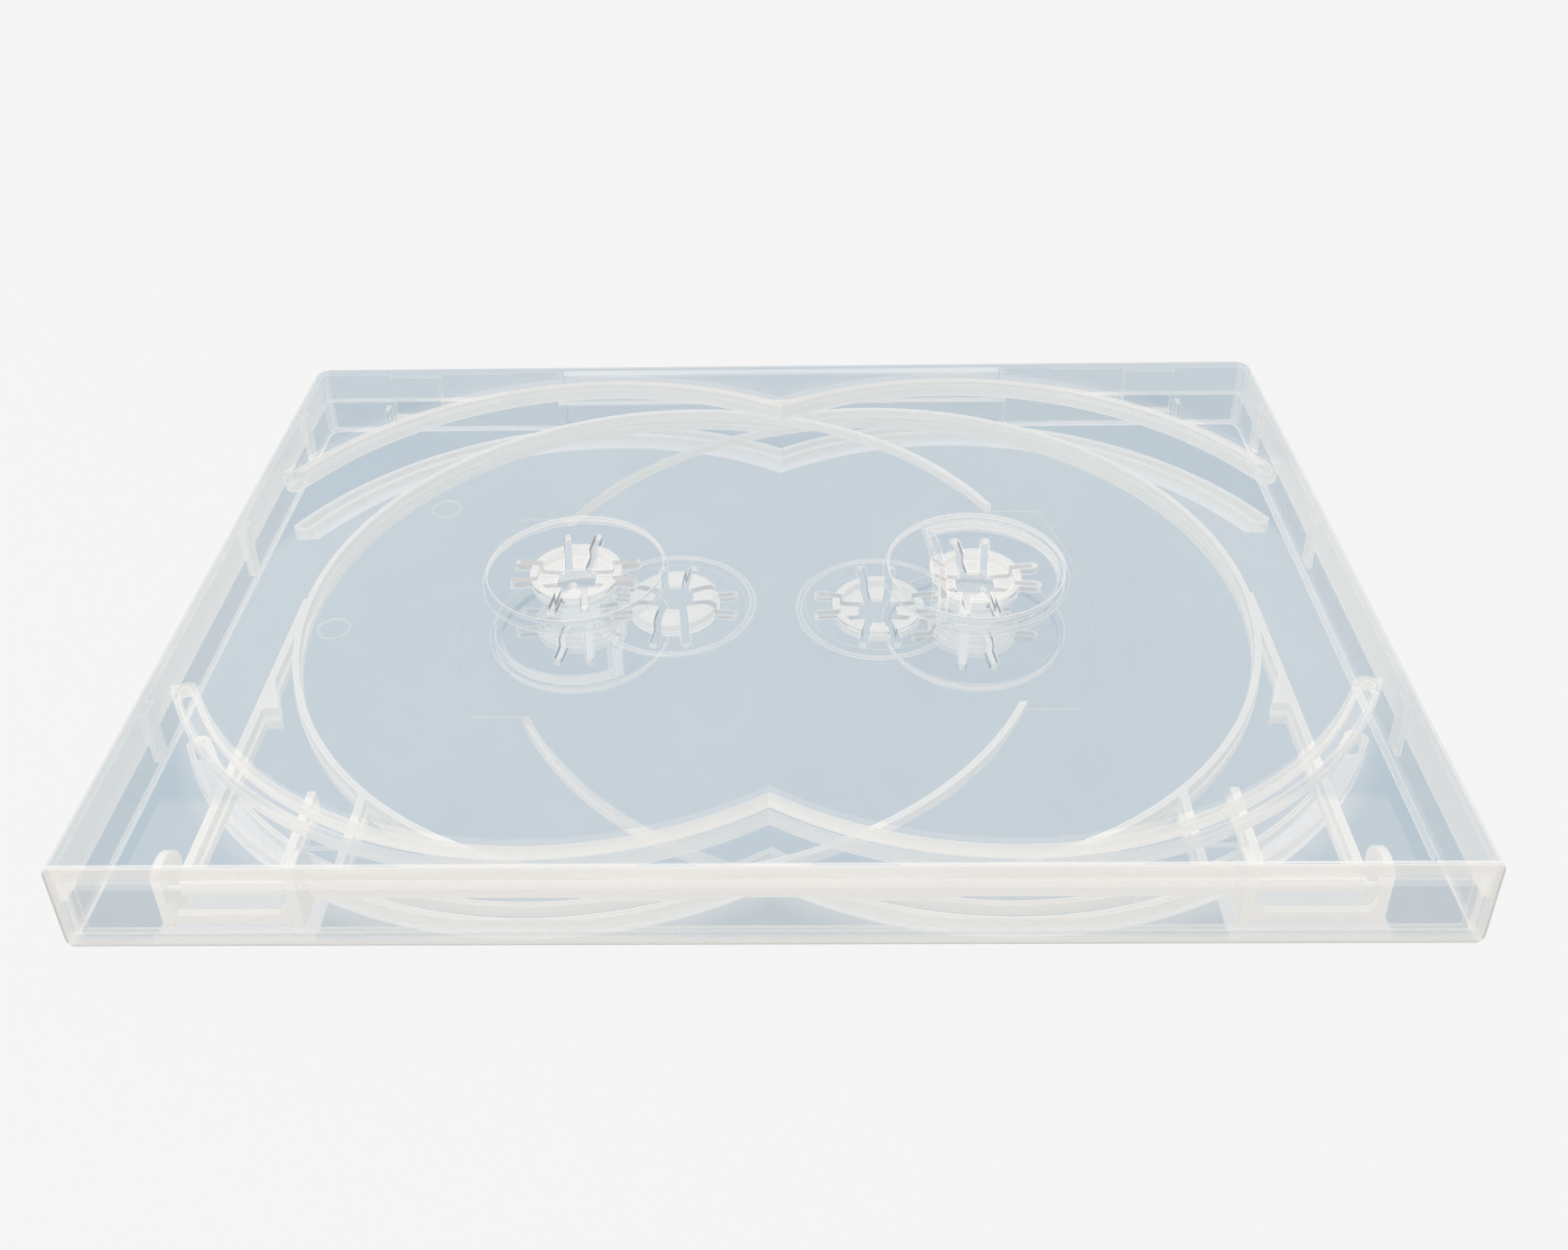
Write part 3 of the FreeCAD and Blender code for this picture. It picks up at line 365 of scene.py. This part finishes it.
def cover_zones(skin_span, outward, inner_face, clear_sides):
    """Zones of a cover: its flat skin, its tinted outer faces, the inner face
    where edges show faintly, and the milky brackets beside the spine."""

    def zones(graph, spot, facing, lying):
        x = graph.size(spot[0])
        y = spot[1]
        z = spot[2]
        skin = graph.between(z, *skin_span)

        # The normal is flipped on back faces. This undoes it, so that a face has
        # the same tint from both sides.
        seen_from = graph.node("ShaderNodeNewGeometry").outputs["Backfacing"]
        flip = graph.maths("SUBTRACT", outward, graph.times(seen_from, 2.0 * outward))
        outer = graph.ramp(graph.times(facing[2], flip), *OUTER_TURN)
        ridges, corner = ridge_masks(graph, spot)
        panel = graph.times(lying, graph.most(skin, outer))
        tinted = graph.times(outer, graph.maths("SUBTRACT", corner, ridges))

        # Thin walls that look as clear as the skin, tinted on their outer faces
        wall = graph.ramp(y, BACK_WALL, BACK_WALL + SOFT)
        grip = graph.between(y, GRIP_FACE - SOFT, GRIP_FACE + SOFT, GRIP_SOFT)
        shell = graph.most(outside(graph, y, HALF_WIDTH), grip)
        if clear_sides:
            sides = graph.ramp(x, HALF_LENGTH - SIDE_WALL[0], HALF_LENGTH - SIDE_WALL[1])
            wall = graph.most(wall, sides)
            shell = graph.most(shell, outside(graph, x, HALF_LENGTH))
        wall = graph.times(wall, graph.inverse(lying))
        panel = graph.most(panel, graph.times(wall, WALL_CLEAR))
        tinted = graph.most(tinted, graph.times(wall, shell))

        # Edges on the inner face are faint, and the brackets are milky
        depth = graph.size(graph.maths("SUBTRACT", z, inner_face))
        pad = graph.ramp(x, PAD_REACH - PAD_FADE, PAD_REACH, FLOOR_FADE, 0.0)
        faint = graph.times(graph.fall(depth, *FLOOR_DEPTH), pad)
        rich = graph.times(graph.between(x, *BRACKET_SPAN), graph.fall(y, *BRACKET_END))
        tinted = graph.times(tinted, graph.inverse(graph.times(rich, BRACKET_CLEAR)))
        return {"panel": panel, "tinted": tinted, "faint": faint, "rich": rich}

    return zones


def tray_zones(graph, spot, facing, lying):
    """Zones of the tray: its thin leaf is clear, its rims and pins milky."""
    x = graph.size(spot[0])
    leaf = graph.between(spot[2], *LEAF)
    pad = graph.ramp(x, PAD_REACH - PAD_FADE, PAD_REACH, FLOOR_FADE, 0.0)
    faint = graph.times(leaf, pad, graph.ramp(x, *LEAF_LINE))
    return {"panel": graph.times(lying, leaf), "tinted": 0.0, "faint": faint, "rich": 0.0}


def spine_zones(graph, spot, facing, lying):
    """Zones of the spine: a clear window inside thicker bands, and dim ends."""
    x = graph.size(spot[0])
    z = spot[2]
    window = graph.times(graph.between(z, *WINDOW_HEIGHT), graph.fall(x, *WINDOW_END))
    outer = graph.fall(spot[1], *SPINE_FACE)
    inside = graph.times(graph.between(z, *BAND_HEIGHT, BAND_SOFT), graph.fall(x, *BAND_END))
    bands = graph.times(outer, graph.inverse(inside))
    # The rim at both ends of the spine gets painted shade, and its foot a painted contact shadow
    rim = graph.most(graph.ramp(x, *RIM_END), graph.fall(z, *RIM_FOOT))
    tinted = graph.plus(graph.times(window, outer), graph.times(rim, RIM_SHADE))
    panel = graph.most(window, rim)
    return {"panel": panel, "tinted": tinted, "faint": graph.times(rim, RIM_FAINT), "rich": bands}


cover_hubs = [(COVER_HUB, ROW), (-COVER_HUB, ROW)]
tray_hubs = [(TRAY_HUB, TRAY_ROW), (-TRAY_HUB, TRAY_ROW)]
back_zones = cover_zones(BACK_SKIN, -1.0, BACK_INSIDE, True)
front_zones = cover_zones(FRONT_SKIN, 1.0, FRONT_INSIDE, False)
looks = {
    "back_cover": clear_plastic("clear_back", back_zones, cover_hubs, BACK_COVERS, TINT, MILK),
    "front_cover": clear_plastic("clear_front", front_zones, cover_hubs, FRONT_COVERS, TINT, MILK),
    "flip_tray": clear_plastic("clear_tray", tray_zones, tray_hubs, TRAY_COVERS, TINT, MILK),
    "spine": clear_plastic("clear_spine", spine_zones, [], SPINE_COVERS, SPINE_TINT, SPINE_MILK),
}

for name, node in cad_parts.items():
    node.data.materials.clear()
    node.data.materials.append(looks[name])

# The case has many clear walls behind each other
scene.cycles.transparent_max_bounces = 64
scene.cycles.max_bounces = 4
scene.cycles.diffuse_bounces = 2
scene.cycles.glossy_bounces = 1

# Floor: the plain paper of the photograph, which keeps a faint shadow
FLOOR_SIZE = 6.0
FLOOR_LEVEL = -0.0004
FLOOR_GLOW = 0.85
bpy.ops.mesh.primitive_plane_add(size=FLOOR_SIZE, location=(0.0, 0.0, FLOOR_LEVEL))
floor = bpy.context.object
floor.name = "paper_floor"
paper = bpy.data.materials.new("paper")
paper.use_nodes = True
graph = Graph(paper.node_tree)
path = graph.node("ShaderNodeLightPath")
rays = [path.outputs[kind] for kind in ("Is Camera Ray", "Is Transmission Ray", "Is Glossy Ray")]
seen = graph.most(*rays)
glow = graph.node("ShaderNodeEmission")
glow.inputs["Color"].default_value = (PAPER, PAPER, PAPER, 1.0)
matt = graph.node("ShaderNodeBsdfDiffuse")
matt.inputs["Color"].default_value = (0.88, 0.88, 0.88, 1.0)
mixed = graph.mix(graph.times(seen, FLOOR_GLOW), matt, glow)
graph.finish("ShaderNodeOutputMaterial", mixed)
floor.data.materials.append(paper)

# World: white paper behind, soft studio light above
world = bpy.data.worlds.new("studio")
scene.world = world
world.use_nodes = True
world.cycles.sampling_method = "NONE"
graph = Graph(world.node_tree)
path = graph.node("ShaderNodeLightPath")
seen = graph.most(path.outputs["Is Camera Ray"], path.outputs["Is Transmission Ray"])
light = graph.node("ShaderNodeBackground")
light.inputs["Color"].default_value = (0.95, 0.945, 0.94, 1.0)
light.inputs["Strength"].default_value = 1.0
back = graph.node("ShaderNodeBackground")
back.inputs["Color"].default_value = (PAPER, PAPER, PAPER, 1.0)
back.inputs["Strength"].default_value = 1.0
graph.finish("ShaderNodeOutputWorld", graph.mix(seen, light, back))

# One large soft lamp above the left front of the case
KEY_PLACE = Vector((-0.35, -0.25, 0.7))
key_data = bpy.data.lights.new("key", "AREA")
key_data.shape = "RECTANGLE"
key_data.size = 0.5
key_data.size_y = 0.4
key_data.energy = 0.8
key = bpy.data.objects.new("key", key_data)
scene.collection.objects.link(key)
key.location = KEY_PLACE
key.rotation_mode = "QUATERNION"
key.rotation_quaternion = (-KEY_PLACE).to_track_quat("-Z", "Y")
key.visible_glossy = False

# Camera, placed from the outline of the case in the photograph
camera_data = bpy.data.cameras.new("photo_camera")
camera_data.sensor_width = 36.0
camera_data.lens = 35.611
camera_data.shift_y = -0.1339
camera_data.clip_start = 0.01
camera_data.clip_end = 20.0
camera = bpy.data.objects.new("photo_camera", camera_data)
scene.collection.objects.link(camera)
camera.location = (0.006302, -0.210241, 0.167206)
camera.rotation_mode = "QUATERNION"
camera.rotation_quaternion = Quaternion((0.868788, 0.495083, 0.010035, 0.000613))
scene.camera = camera

scene.view_settings.view_transform = "Standard"
